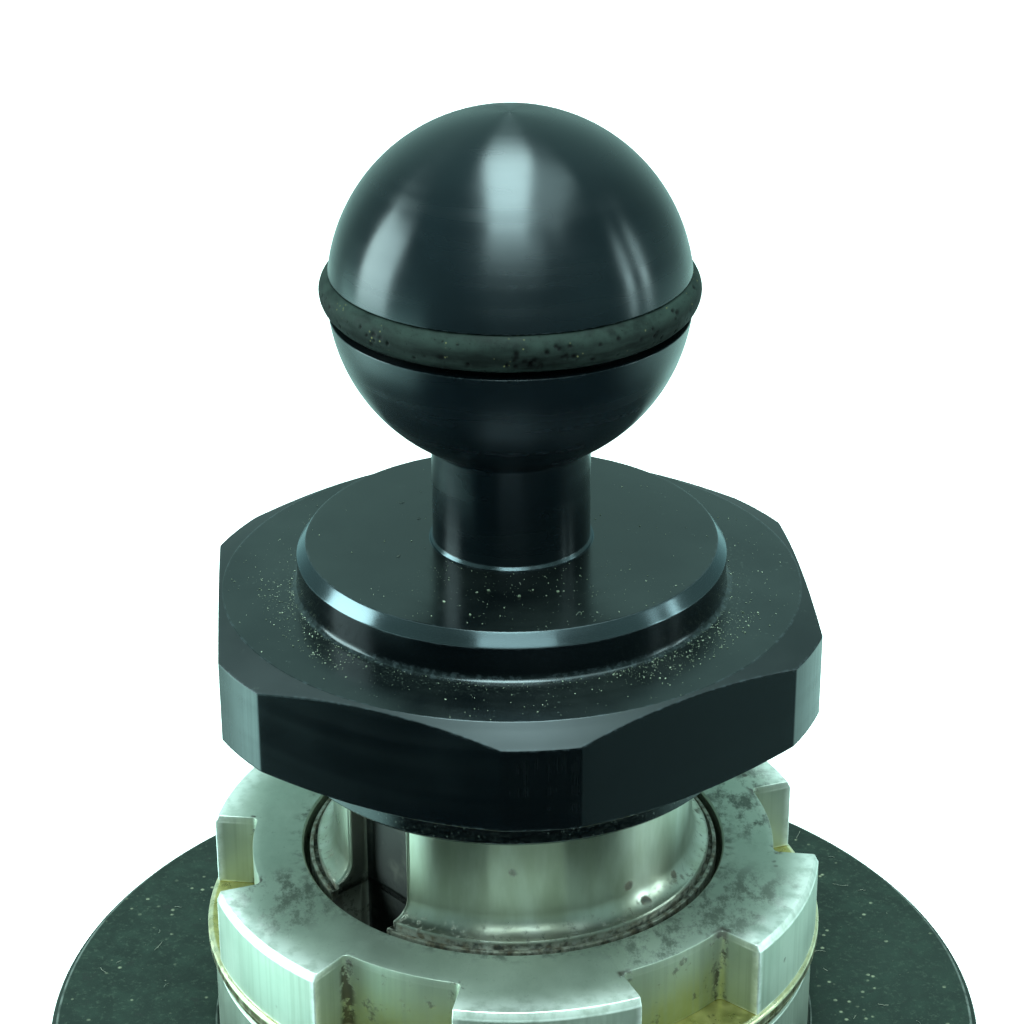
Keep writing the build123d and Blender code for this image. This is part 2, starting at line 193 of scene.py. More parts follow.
def rounded(corners, margin=0.12 * MM, closed=True):
    """Outline of (point, edge) from corners (x, y, fillet).
    edge is 1 on the rounded edges and falls to 0 over the margin."""
    outline = []
    last = len(corners) - 1
    for i, (x, y, fillet) in enumerate(corners):
        here = complex(x, y)
        before = complex(*corners[i - 1][:2]) - here
        after = complex(*corners[(i + 1) % len(corners)][:2]) - here
        if fillet == 0 or (not closed and i in (0, last)):
            outline.append((here, 0.0))
            continue
        back = before / abs(before)
        ahead = after / abs(after)
        slope = tan(abs(phase(ahead / back)) / 2)
        reach = min(fillet / slope, 0.3 * abs(before), 0.3 * abs(after))
        hold = min(margin, 0.12 * abs(before), 0.12 * abs(after))
        outline.append((here + back * (reach + hold), 0.0))
        outline += [(p, 1.0) for p in corner(here, back, ahead, reach * slope)]
        outline.append((here + ahead * (reach + hold), 0.0))
    return outline


def arc(centre, radius, start, end, steps):
    """Outline points of an arc about a centre (x, y), from one angle to another in degrees."""
    turns = [radians(start + (end - start) * k / steps) for k in range(steps + 1)]
    return [(complex(*centre) + radius * exp(1j * t), 0.0) for t in turns]


def grid_mesh(name, grid, edges, loop=True):
    """Mesh of a grid of points (rows, columns, 3) that closes round its columns, and round its rows
    too if it is a loop. Attribute run is the distance along each column, and edge marks the rounded edges."""
    rows, columns, _ = grid.shape
    steps = np.linalg.norm(np.diff(grid, axis=0), axis=2)
    run = np.vstack([np.zeros(columns), np.cumsum(steps, axis=0)])
    r, c = np.meshgrid(np.arange(rows if loop else rows - 1), np.arange(columns), indexing="ij")
    r2 = (r + 1) % rows
    c2 = (c + 1) % columns
    quads = np.stack([r * columns + c, r * columns + c2, r2 * columns + c2, r2 * columns + c], axis=2)
    mesh = bpy.data.meshes.new(name)
    mesh.from_pydata(grid.reshape(-1, 3).tolist(), [], quads.reshape(-1, 4).tolist())
    for label, values in (("run", run), ("edge", edges)):
        attribute = mesh.attributes.new(label, "FLOAT", "POINT")
        attribute.data.foreach_set("value", values.astype(np.float32).ravel())
    work = bmesh.new()
    work.from_mesh(mesh)
    bmesh.ops.remove_doubles(work, verts=work.verts, dist=WELD)
    bmesh.ops.dissolve_degenerate(work, edges=work.edges, dist=WELD)
    bmesh.ops.recalc_face_normals(work, faces=work.faces)
    work.to_mesh(mesh)
    work.free()
    mesh.shade_smooth()
    return mesh


def polar(radius, angles, height):
    """Points at those distances from the axis, angles about it and heights."""
    return np.stack([radius * np.cos(angles), radius * np.sin(angles), height + 0 * angles], axis=-1)


def lathe(name, outline, loop=True, columns=COLUMNS):
    """Turns an outline of (radius + height j, edge) about Z."""
    angles = np.linspace(0, 2 * pi, columns, endpoint=False) + pi / 2
    radius = np.array([p.real for p, _ in outline])[:, None]
    height = np.array([p.imag for p, _ in outline])[:, None]
    edges = np.array([e for _, e in outline])[:, None] + 0 * angles
    return grid_mesh(name, polar(radius, angles, height), edges, loop)


def placed(name, data):
    """A new object in the scene."""
    thing = bpy.data.objects.new(name, data)
    bpy.context.scene.collection.objects.link(thing)
    return thing


def piece(name, mesh, body, material, slot, *replaced):
    """A finished object made of a mesh, riding on a body and standing for the replaced CAD nodes."""
    thing = placed(name, mesh)
    mesh.materials.append(material)
    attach(thing, body)
    if replaced:
        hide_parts(*replaced)
    return thing


# ---- Shader helpers ----

MIX_FLOATS = 2
MIX_COLOURS = 6


class Nodes:
    """Short calls for the nodes of a tree. A value is a number, a tuple or another node's socket."""

    def __init__(self, tree):
        self.tree = tree

    def fill(self, socket, value):
        if isinstance(value, bpy.types.NodeSocket):
            self.tree.links.new(value, socket)
        elif isinstance(value, (tuple, list)) and len(value) == 3 and socket.type == "RGBA":
            socket.default_value = (*value, 1)
        else:
            socket.default_value = value

    def node(self, kind, *values, **settings):
        """A new node with those settings, its first inputs filled with the values."""
        node = self.tree.nodes.new("ShaderNode" + kind)
        for label, setting in settings.items():
            setattr(node, label, setting)
        for socket, value in zip(node.inputs, values):
            self.fill(socket, value)
        return node

    def math(self, operation, a, b=0.0, clamp=False):
        return self.node("Math", a, b, operation=operation, use_clamp=clamp).outputs[0]

    def split(self, vector):
        return self.node("SeparateXYZ", vector).outputs

    def ramp(self, value, low, high, first=0.0, last=1.0):
        """Smooth step of a value from first to last between low and high."""
        node = self.node("MapRange", value, low, high, first, last, interpolation_type="SMOOTHSTEP")
        return node.outputs[0]

    def blend(self, factor, a, b):
        """Mix of two numbers."""
        node = self.node("Mix", factor, data_type="FLOAT")
        self.fill(node.inputs[MIX_FLOATS], a)
        self.fill(node.inputs[MIX_FLOATS + 1], b)
        return node.outputs[0]


class Shade(Nodes):
    """A material, with the nodes and masks that its pattern needs."""

    def __init__(self, name):
        self.material = bpy.data.materials.new(name)
        self.material.use_nodes = True
        super().__init__(self.material.node_tree)
        self.tree.nodes.clear()
        self.bsdf = self.node("BsdfPrincipled")
        self.node("OutputMaterial", self.bsdf.outputs[0])
        self.place = self.node("TexCoord").outputs["Object"]
        self.relief = None

    def set(self, **values):
        """Sets the main shader's sockets, named with _ for a space."""
        for label, value in values.items():
            self.fill(self.bsdf.inputs[label.replace("_", " ")], value)

    def vector(self, operation, a, b):
        return self.node("VectorMath", a, b, operation=operation).outputs[0]

    def mark(self, name):
        """An attribute of the mesh."""
        return self.node("Attribute", attribute_name=name).outputs["Fac"]

    def along(self, x, y, turn):
        """Distance from the axis towards a turn in degrees."""
        angle = heading(turn)
        return self.math("ADD", self.math("MULTIPLY", x, cos(angle)), self.math("MULTIPLY", y, sin(angle)))

    def toward(self, turn, spread):
        """1 in the direction of a turn in degrees, falling to 0 at that many degrees from it."""
        flat = self.vector("NORMALIZE", self.vector("MULTIPLY", self.place, (1, 1, 0)), (0, 0, 0))
        x, y, _ = self.split(flat)
        return self.ramp(self.along(x, y, turn), cos(radians(spread)), cos(radians(0.25 * spread)))

    def facing_up(self):
        return self.split(self.node("NewGeometry").outputs["True Normal"])[2]

    def radius(self):
        """Distance from the axis."""
        x, y, _ = self.split(self.place)
        return self.math("SQRT", self.math("ADD", self.math("MULTIPLY", x, x), self.math("MULTIPLY", y, y)))

    def height(self):
        return self.split(self.place)[2]

    def noise(self, scale, detail=3, roughness=0.55, vector=None):
        node = self.node("TexNoise", self.place if vector is None else vector)
        for label, value in (("Scale", scale), ("Detail", detail), ("Roughness", roughness)):
            node.inputs[label].default_value = value
        return node.outputs["Fac"]

    def stretched(self, x, y, z, detail=3, roughness=0.55):
        """Noise with a scale of its own along each axis."""
        return self.noise(1, detail, roughness, self.vector("MULTIPLY", self.place, (x, y, z)))

    def rings(self, around, spacing, detail, offset=0.0):
        """Noise in turning rings: around per radian of turn, and a spacing apart along the surface."""
        flat = self.vector("MULTIPLY", self.place, (1, 1, 0))
        ring = self.vector("MULTIPLY", self.vector("NORMALIZE", flat, (0, 0, 0)), (around, around, 0))
        run = self.math("MULTIPLY", self.mark("run"), 1 / spacing)
        place = self.node("CombineXYZ", offset, 0.0, run).outputs[0]
        return self.noise(1, detail, vector=self.vector("ADD", ring, place))

    def cells(self, scale):
        """Distance from the middle of the nearest of many scattered cells."""
        node = self.node("TexVoronoi", self.place)
        node.inputs["Scale"].default_value = scale
        return node.outputs["Distance"]

    def band(self, value, start, full, fade, end):
        """1 between full and fade, falling to 0 at start and at end."""
        return self.math("MULTIPLY", self.ramp(value, start, full), self.ramp(value, fade, end, 1.0, 0.0))

    def both(self, mask, *others):
        """Where every mask is."""
        for other in others:
            mask = self.math("MULTIPLY", mask, other, clamp=True)
        return mask

    def either(self, a, b):
        return self.math("MAXIMUM", a, b, clamp=True)

    def mix(self, factor, a, b):
        """Mix of two colours."""
        node = self.node("Mix", factor, data_type="RGBA")
        self.fill(node.inputs[MIX_COLOURS], a)
        self.fill(node.inputs[MIX_COLOURS + 1], b)
        return node.outputs[2]

    def bump(self, height, distance):
        """Adds relief of that depth in metres to the relief that is there."""
        node = self.node("Bump")
        node.inputs["Distance"].default_value = distance
        self.fill(node.inputs["Height"], height)
        if self.relief is not None:
            self.fill(node.inputs["Normal"], self.relief)
        self.relief = node.outputs[0]
        self.set(Normal=self.relief)

    def turned_gloss(self, anisotropy):
        """Stretches highlights across the turning lines."""
        self.set(Anisotropic=anisotropy, Anisotropic_Rotation=0.25)
        self.set(Tangent=self.node("Tangent", direction_type="RADIAL", axis="Z").outputs[0])


# ---- Materials ----

def black_anodised(name, roughness, anisotropy, dusty, blueness, foot_radius=None):
    """Black anodised aluminium: fine turning lines, a satin gloss, pale worn edges and settled dust."""
    s = Shade(name)
    lines = s.rings(0.5, 0.35 * MM, 0)
    wide_lines = s.rings(0.4, 1.2 * MM, 1, 4.0)
    cloud = s.noise(130, 4)
    fine = s.noise(5200, 2)
    radius = s.radius()
    z = s.height()
    up = s.ramp(s.facing_up(), 0.75, 0.98)
    film = s.both(up, s.ramp(cloud, 0.3, 0.75, 0.05 * dusty, 0.3 * dusty))
    grains = s.both(up, s.ramp(s.cells(1500), 0.2, 0.1))
    grains = s.both(grains, s.ramp(s.noise(420), 0.5, 0.7, 0.0, dusty))
    dust = s.either(film, grains)
    bare = s.both(s.mark("edge"), s.ramp(s.noise(2300), 0.42, 0.72, 0.0, 0.3))
    foot = s.both(s.band(radius, *(stem_radius + d * MM for d in (0.01, 0.03, 0.25, 0.3))),
                  s.band(z, *(boss_top + d * MM for d in (-0.2, -0.1, 0.3, 0.35))))
    bare = s.either(bare, s.both(foot, s.ramp(s.noise(700), 0.3, 0.55, 0.4, 1.0)))
    rough = s.math("ADD", s.ramp(cloud, 0.3, 0.7, roughness - 0.02, roughness + 0.03), s.both(dust, 0.2))
    if foot_radius is not None:
        near = s.band(radius, *(foot_radius + d * MM for d in (-0.1, 0.2, 0.7, 3.4)))
        low = s.ramp(z, hex_top + 0.3 * MM, hex_top + 0.02 * MM)
        haze = s.ramp(s.noise(3600, 5, 0.75), 0.46, 0.74, 0.0, 0.45)
        haze = s.either(haze, s.both(s.ramp(s.cells(2900), 0.3, 0.16), s.ramp(fine, 0.45, 0.6)))
        dust = s.either(dust, s.both(near, low, haze))
        edge = foot_radius - boss_chamfer_in
        chamfer = s.both(s.ramp(radius, edge - 0.02 * MM, edge + 0.04 * MM),
                         s.ramp(z, boss_chamfer_bottom - 0.06 * MM, boss_chamfer_bottom + 0.02 * MM))
        bare = s.either(bare, s.both(chamfer, 0.95))
        corner_cone = s.both(s.ramp(radius, hex_face_radius, hex_face_radius + 0.1 * MM),
                             s.band(s.facing_up(), 0.3, 0.5, 0.93, 0.97))
        facet = s.both(s.ramp(radius, hex_corner_radius - 0.12 * MM, hex_corner_radius - 0.05 * MM),
                       s.ramp(s.facing_up(), 0.3, 0.1))
        brushed = s.stretched(3800, 3800, 90)
        streaky = s.both(facet, s.ramp(brushed, 0.35, 0.65, 0.0, 0.08))
        rough = s.math("ADD", rough, s.math("ADD", s.both(corner_cone, 0.36), streaky))
        s.bump(s.both(facet, brushed), 0.35e-6)
    deep = tuple(blueness * c for c in (0.0003, 0.0011, 0.0018))
    light = tuple(blueness * c for c in (0.0007, 0.0018, 0.0027))
    body = s.mix(s.ramp(cloud, 0.35, 0.7), deep, light)
    coloured = s.mix(s.both(dust, 0.13), body, (0.27, 0.34, 0.29))
    s.set(Base_Color=s.mix(bare, coloured, (0.082, 0.105, 0.118)), Metallic=bare)
    s.set(Roughness=s.math("ADD", rough, s.ramp(wide_lines, 0.3, 0.7, -0.02, 0.03)))
    s.set(IOR=1.5, Specular_Tint=(0.84, 0.93, 1.0))
    s.turned_gloss(anisotropy)
    s.bump(lines, 0.5e-6)
    s.bump(wide_lines, 0.8e-6)
    s.bump(fine, 0.7e-6)
    s.bump(grains, 12e-6)
    return s.material


def worn_rubber(name):
    """Old black rubber gone grey-green, with scuffs, pits painted near black as painted shade, and a few
    yellowish specks.
    """
    s = Shade(name)
    grain = s.noise(3400, 5, 0.7)
    scuff = s.stretched(260, 260, 1500, 6, 0.65)
    blotch = s.noise(520, 5, 0.65)
    upper = s.ramp(s.height(), o_ring_center - 0.1 * MM, o_ring_center + 0.9 * MM)
    tone = s.mix(s.ramp(scuff, 0.36, 0.66), (0.002, 0.005, 0.0045), (0.008, 0.015, 0.013))
    tone = s.mix(s.both(upper, s.ramp(blotch, 0.35, 0.65, 0.1, 1.0)), tone, (0.016, 0.027, 0.023))
    dark = s.ramp(grain, 0.6, 0.7)
    # Painted shade: the pits, which the edge attribute marks, are coloured near black, along with a few
    # random dark spots.
    tone = s.mix(s.either(s.mark("edge"), s.both(dark, 0.8)), tone, (0.001, 0.002, 0.002))
    specks = s.both(s.ramp(s.cells(2600), 0.24, 0.12), s.ramp(s.noise(600, 2), 0.58, 0.66))
    s.set(Base_Color=s.mix(s.both(specks, 0.8), tone, (0.11, 0.11, 0.045)))
    s.set(Roughness=s.ramp(blotch, 0.3, 0.7, 0.55, 0.8), IOR=1.22)
    s.bump(grain, 12e-6)
    s.bump(scuff, 10e-6)
    return s.material


def soft_rubber(name):
    """Plain black sheet rubber with a moulded grain."""
    s = Shade(name)
    grain = s.noise(2600, 4)
    cloud = s.noise(220)
    s.set(Base_Color=s.mix(s.ramp(cloud, 0.35, 0.7), (0.010, 0.012, 0.012), (0.026, 0.030, 0.028)))
    s.set(Roughness=s.ramp(cloud, 0.3, 0.7, 0.55, 0.75))
    s.bump(grain, 12e-6)
    return s.material


def polished_steel(name):
    """Ground and polished steel with fine rings, brown rust spots, grime at its foot, and a keyway painted
    near black as painted shade.
    """
    s = Shade(name)
    lines = s.rings(0.8, 0.12 * MM, 1)
    smear = s.stretched(420, 420, 110, 4)
    cloud = s.noise(240, 4, 0.6)
    speckle = s.noise(1700, 5, 0.7)
    x, y, z = s.split(s.place)
    radius = s.radius()
    angle = heading(keyway_turn)
    outward = s.along(x, y, keyway_turn)
    across = s.math("SUBTRACT", s.math("MULTIPLY", y, cos(angle)), s.math("MULTIPLY", x, sin(angle)))
    keyway = s.ramp(s.math("ABSOLUTE", across), keyway_half_width + 0.04 * MM, keyway_half_width - 0.03 * MM)
    keyway = s.both(keyway, s.ramp(outward, 5 * MM, 6 * MM))
    foot = s.ramp(z, rim_top + 1.7 * MM, rim_top + 0.2 * MM)
    rim = s.both(s.ramp(z, rim_top + 0.45 * MM, rim_top + 0.1 * MM), s.ramp(radius, 14.2 * MM, 14.6 * MM))
    spots = s.both(s.ramp(s.math("ADD", s.cells(390), s.both(speckle, 0.16)), 0.30, 0.22),
                   s.ramp(s.noise(170, 2), 0.47, 0.53))
    rust = s.either(s.both(spots, 0.85), s.both(foot, s.ramp(speckle, 0.52, 0.68, 0.0, 0.75)))
    rust = s.either(rust, s.both(rim, s.ramp(s.noise(1300, 4), 0.36, 0.64, 0.35, 0.95)))
    steel = s.mix(s.ramp(smear, 0.3, 0.72), (0.44, 0.45, 0.36), (0.62, 0.63, 0.56))
    patchy = s.ramp(s.noise(2400), 0.35, 0.65)
    brown = s.mix(patchy, (0.012, 0.010, 0.006), (0.085, 0.062, 0.034))
    # Painted shade: the keyway is coloured near black, in blotches, where the recess lies in shade.
    keyway_shade = s.mix(s.ramp(cloud, 0.45, 0.7), (0.004, 0.005, 0.004), (0.045, 0.045, 0.036))
    s.set(Base_Color=s.mix(keyway, s.mix(rust, steel, brown), keyway_shade))
    s.set(Metallic=s.math("SUBTRACT", 1.0, s.either(s.both(rust, 0.9), s.both(keyway, 0.5))))
    rough = s.ramp(cloud, 0.3, 0.75, 0.27, 0.35)
    s.set(Roughness=s.blend(s.either(rust, s.both(keyway, 0.6)), rough, 0.6))
    s.turned_gloss(0.85)
    s.bump(lines, 0.6e-6)
    s.bump(smear, 3e-6)
    s.bump(rust, 10e-6)
    return s.material


def satin_aluminium(name, olive=0.95, smudged=1.0):
    """Satin aluminium, faintly brushed, with greasy smudges and pits, brown dirt mixed with painted shade in
    the slots' corners, and an olive stain with painted shade deep in the slots.
    """
    s = Shade(name)
    x, y, z = s.split(s.place)
    radius = s.radius()
    up = s.ramp(s.facing_up(), 0.7, 0.97)
    side = s.math("SUBTRACT", 1.0, up)
    ring_lines = s.rings(1.5, 0.2 * MM, 2)
    upright = s.stretched(2600, 2600, 60)
    cloud = s.noise(170, 5, 0.6)
    mottle = s.noise(900, 4, 0.6)
    speckle = s.noise(2600, 4, 0.7)
    tone = s.mix(s.ramp(cloud, 0.3, 0.72), (0.355, 0.415, 0.352), (0.445, 0.505, 0.438))
    low = s.ramp(z, ring_top - 0.3 * MM, ring_bottom + 1.2 * MM, 0.25, 1.0)
    in_slot = s.ramp(radius, slot_floor_radius + 0.9 * MM, slot_floor_radius + 0.25 * MM)
    # Partly an olive stain, partly painted shade: upright faces deep in the slots turn a darker olive, more
    # so lower down.
    slot_stain_and_shade = s.both(s.both(low, in_slot), s.both(side, s.ramp(cloud, 0.2, 0.65, 0.4 * olive, olive)))
    tone = s.mix(slot_stain_and_shade, tone, (0.24, 0.255, 0.10))
    tone = s.mix(s.both(side, s.ramp(upright, 0.42, 0.7, 0.0, 0.35)), tone, (0.24, 0.28, 0.22))
    sector = s.either(s.toward(48, 34), s.either(s.toward(-62, 16), s.toward(110, 30)))
    streaks = s.stretched(700, 420, 300, 7, 0.75)
    smudge = s.both(up, s.ramp(sector, 0.0, 1.0, 0.10, 1.0), s.ramp(streaks, 0.45, 0.62, 0.0, smudged))
    bore_side = s.ramp(radius, counterbore_radius + 1.6 * MM, counterbore_radius + 0.1 * MM)
    smudge = s.either(smudge, s.both(up, bore_side, s.ramp(mottle, 0.44, 0.66, 0.0, 0.9)))
    smudge = s.either(smudge, s.both(up, s.ramp(speckle, 0.6, 0.74, 0.0, 0.4)))
    tone = s.mix(s.both(smudge, 0.92), tone, (0.065, 0.082, 0.064))
    sixth = s.math("MULTIPLY", s.math("SUBTRACT", s.math("ARCTAN2", y, x), heading(slot_turn)), slot_count)
    # Brown dirt mixed with painted shade: dark brown blotches where the slot sides meet their floors, and on
    # the upright faces deep in the slots.
    corner_mark = s.band(s.math("COSINE", sixth), 0.02, 0.12, 0.3, 0.5)
    near_floor = s.band(radius, *(slot_floor_radius + d * MM for d in (-0.5, -0.05, 0.4, 0.9)))
    blots = s.ramp(s.noise(420, 4, 0.7), 0.5, 0.57)
    blobs = s.both(corner_mark, near_floor, blots)
    pits = s.both(s.ramp(s.cells(700), 0.24, 0.1), s.ramp(s.noise(260), 0.58, 0.66))
    deep = s.both(side, in_slot, s.ramp(s.noise(620, 4, 0.65), 0.6, 0.7))
    dirt_and_slot_shade = s.either(s.both(blobs, smudged), s.either(pits, s.both(deep, 0.8)))
    tone = s.mix(s.both(dirt_and_slot_shade, 0.92), tone, (0.022, 0.016, 0.008))
    outer = s.ramp(radius, slot_floor_radius + 0.6 * MM, ring_radius - 0.7 * MM, 0.12, 1.0)
    worn = s.both(s.mark("edge"), outer, s.ramp(mottle, 0.3, 0.6, 0.35, 0.9))
    s.set(Base_Color=s.mix(worn, tone, (0.86, 0.90, 0.86)))
    s.set(Metallic=s.math("SUBTRACT", 0.78, s.both(s.either(dirt_and_slot_shade, smudge), 0.5), clamp=True))
    s.set(Roughness=s.math("ADD", s.ramp(cloud, 0.3, 0.7, 0.42, 0.52), s.both(smudge, 0.1)))
    s.bump(ring_lines, 1.2e-6)
    s.bump(upright, 3.5e-6)
    s.bump(mottle, 4e-6)
    s.bump(dirt_and_slot_shade, 22e-6)
    return s.material


def yellow_zinc(name):
    """Yellow zinc plate on pressed steel: olive gold faces and a grey-brown sheared edge."""
    s = Shade(name)
    cloud = s.noise(520, 4)
    streak = s.stretched(1500, 1500, 220)
    side = s.ramp(s.facing_up(), 0.55, 0.2)
    gold = s.mix(s.ramp(cloud, 0.3, 0.7), (0.34, 0.31, 0.10), (0.56, 0.50, 0.20))
    sheared = s.mix(s.ramp(streak, 0.35, 0.65), (0.11, 0.095, 0.065), (0.34, 0.31, 0.22))
    tone = s.mix(s.both(side, s.ramp(streak, 0.25, 0.6, 0.6, 1.0)), gold, sheared)
    worn = s.both(s.mark("edge"), s.ramp(cloud, 0.35, 0.6, 0.5, 1.0))
    s.set(Base_Color=s.mix(worn, tone, (0.80, 0.76, 0.52)), Metallic=0.9)
    s.set(Roughness=s.ramp(streak, 0.3, 0.7, 0.26, 0.44))
    s.bump(streak, 6e-6)
    s.bump(cloud, 3e-6)
    return s.material


def dusty_disc(name):
    """Matt dark green-grey painted disc under a film of dust, speckled and scuffed, with a painted highlight
    along its rounded edges.
    """
    s = Shade(name)
    cloud = s.noise(60, 5, 0.6)
    mottle = s.noise(480, 5, 0.65)
    grain = s.noise(3600)
    up = s.ramp(s.facing_up(), 0.6, 0.97)
    tone = s.mix(s.ramp(cloud, 0.3, 0.7), (0.003, 0.009, 0.0065), (0.007, 0.015, 0.0115))
    fuzz = s.noise(2600, 4, 0.75)
    tone = s.mix(s.both(up, s.ramp(mottle, 0.4, 0.68, 0.0, 0.55)), tone, (0.015, 0.029, 0.022))
    tone = s.mix(s.both(up, s.ramp(fuzz, 0.52, 0.72, 0.0, 0.6)), tone, (0.034, 0.052, 0.037))
    dark = s.ramp(s.noise(700, 4, 0.7), 0.6, 0.68)
    tone = s.mix(s.both(dark, 0.7), tone, (0.008, 0.013, 0.011))
    specks = s.both(s.ramp(s.cells(950), 0.2, 0.08), s.ramp(s.noise(330), 0.5, 0.62))
    tone = s.mix(s.both(specks, s.both(up, 0.7)), tone, (0.20, 0.22, 0.15))
    # Painted highlight: the rounded edges, the rim among them, are painted a paler grey in patches.
    worn = s.both(s.mark("edge"), s.ramp(mottle, 0.35, 0.6, 0.2, 0.8))
    s.set(Base_Color=s.mix(worn, tone, (0.11, 0.13, 0.12)))
    s.set(Roughness=s.ramp(mottle, 0.3, 0.7, 0.62, 0.85), IOR=1.3)
    s.bump(grain, 6e-6)
    s.bump(mottle, 34e-6)
    s.bump(fuzz, 12e-6)
    s.bump(specks, 20e-6)
    return s.material


def bearing_steel(name, tone=(0.58, 0.60, 0.60), roughness=0.14):
    """Clean hidden metal with a light film of oil."""
    s = Shade(name)
    cloud = s.noise(260)
    fine = s.noise(3200, 2)
    darker = tuple(0.72 * c for c in tone)
    s.set(Base_Color=s.mix(s.ramp(cloud, 0.3, 0.7), darker, tone), Metallic=1.0)
    s.set(Roughness=s.ramp(cloud, 0.3, 0.7, roughness, roughness + 0.12))
    s.bump(fine, 1e-6)
    return s.material


def dust_grain(name, paleness=1.0):
    """Pale mineral dust."""
    s = Shade(name)
    dull = tuple(paleness * c for c in (0.13, 0.16, 0.11))
    pale = tuple(paleness * c for c in (0.36, 0.41, 0.31))
    tone = s.mix(s.ramp(s.noise(900, 1), 0.4, 0.66), dull, pale)
    s.set(Base_Color=tone, Roughness=0.9)
    s.bump(s.noise(9000), 8e-6)
    return s.material


def lint_fibre(name):
    """Grey textile lint."""
    s = Shade(name)
    tone = s.mix(s.ramp(s.noise(700), 0.4, 0.6), (0.11, 0.13, 0.11), (0.24, 0.25, 0.20))
    s.set(Base_Color=tone, Roughness=0.85)
    s.bump(s.noise(8000), 6e-6)
    return s.material


def pale_floor(name):
    """Nearly white floor that glows a little, so that it stays clean under the part."""
    s = Shade(name)
    cloud = s.noise(3.0)
    s.set(Base_Color=s.mix(s.ramp(cloud, 0.3, 0.7), (0.90, 0.92, 0.91), (0.94, 0.95, 0.94)))
    s.set(Roughness=0.85, Emission_Color=(1, 1, 1), Emission_Strength=0.35)
    s.bump(s.noise(40), 0.0002)
    return s.material


anodised_ball = black_anodised("black_anodised_ball", 0.25, 0.84, 0.05, 2.2)
anodised_cap = black_anodised("black_anodised_cap", 0.18, 0.6, 0.55, 0.9, boss_radius)
steel = polished_steel("polished_steel")
aluminium = satin_aluminium("satin_aluminium")
housing_aluminium = satin_aluminium("housing_aluminium", olive=0.2, smudged=0.7)
zinc = yellow_zinc("yellow_zinc")
disc_paint = dusty_disc("dusty_disc")
old_rubber = worn_rubber("worn_rubber")
sheet_rubber = soft_rubber("sheet_rubber")


# ---- Ball stud and its rubber ring ----

def ball_stud():
    """Shank, stem with a slight flare at its foot, and ball with the rubber ring's groove."""
    lip_angle = degrees(asin(groove_lip / ball_radius))
    stem_angle = degrees(acos(stem_radius / ball_radius))
    centre = (0, ball_center)
    lip_x = sqrt(ball_radius**2 - groove_lip**2)
    beside = ball_radius * exp(1j * radians(lip_angle + 1))
    shank_chamfer = 0.6 * MM
    lip_fillet = 0.16 * MM
    floor_fillet = 0.3 * MM
    soft = 0.1 * MM
    flare = 0.2 * MM
    seat = boss_top + 0.005 * MM
    foot = rounded([
        (0, shank_bottom, 0), (shank_radius - shank_chamfer, shank_bottom, soft),
        (shank_radius, shank_bottom + shank_chamfer, soft), (shank_radius, socket_bottom, 0),
        (stem_radius, socket_bottom, soft), (stem_radius, seat, 0), (stem_radius + flare, seat, 0.02 * MM),
        (stem_radius, boss_top + 1.3 * flare, 0.1 * MM),
        (stem_radius, ball_center - ball_radius * sin(radians(stem_angle)) - 0.3 * MM, 0),
    ], closed=False)
    lower = arc(centre, ball_radius, -stem_angle + 1.2, -lip_angle - 1.0, 36)
    groove = rounded([
        (beside.real, ball_center - beside.imag, 0), (lip_x, ball_center - groove_lip, lip_fillet),
        (groove_floor_radius, ball_center - groove_lip, floor_fillet),
        (groove_floor_radius, ball_center + groove_lip, floor_fillet),
        (lip_x, ball_center + groove_lip, lip_fillet), (beside.real, ball_center + beside.imag, 0),
    ], margin=0.05 * MM, closed=False)
    upper = arc(centre, ball_radius, lip_angle + 1.0, 90, 64)
    upper[-1] = (complex(0, ball_center + ball_radius), 0.0)
    return lathe("ball_stud_mesh", foot + lower + groove[1:-1] + upper, loop=False)


def o_ring():
    """A torus worn on its outside: uneven, pitted and nicked. Its edge attribute marks the pits."""
    rng = np.random.default_rng(7)
    columns = 1200
    rows = 80
    upright_stretch = 1.12
    most_swell = 0.03 * MM
    around = np.linspace(0, 2 * pi, columns, endpoint=False)
    about = np.linspace(0, 2 * pi, rows, endpoint=False)
    swell = np.zeros((rows, columns))
    for waves in (3, 5, 9, 14, 23, 37):
        start = rng.uniform(0, 2 * pi, 2)
        wave = most_swell / waves**0.6 * np.cos(waves * around + start[0])
        swell += wave[None] * np.cos(about + start[1])[:, None]
    pits = np.zeros((rows, columns))
    places = [(rng.uniform(-180, 180), rng.normal(-8, 30)) for _ in range(150)]
    places += [(rng.normal(7, 6), rng.normal(-14, 14)) for _ in range(26)]
    places += [(rng.normal(-82, 9), rng.normal(-10, 22)) for _ in range(26)]
    for turn, tilt in places:
        size = rng.uniform(0.05, 0.17) * MM
        gap_around = (np.angle(np.exp(1j * (around - heading(turn)))) * o_ring_radius)[None]
        gap_around = gap_around / rng.uniform(0.8, 1.8)
        gap_about = (np.angle(np.exp(1j * (about - radians(tilt)))) * o_ring_section)[:, None]
        hole = np.exp(-((gap_around**2 + gap_about**2) / size**2)**2)
        swell -= rng.uniform(0.4, 0.9) * size * hole
        pits = np.maximum(pits, hole)
    section = o_ring_section - most_swell + np.minimum(swell, most_swell)
    reach = o_ring_radius - o_ring_section + section * np.cos(about)[:, None]
    height = o_ring_center + upright_stretch * section * np.sin(about)[:, None]
    return grid_mesh("o_ring_mesh", polar(reach, around, height), pits)


piece("ball_stud_turned", ball_stud(), "turning_head", anodised_ball, "black_anodised", "ball_stud")
piece("ball_o_ring_worn", o_ring(), "turning_head", old_rubber, "rubber", "ball_o_ring")


# ---- Hexagonal cap ----

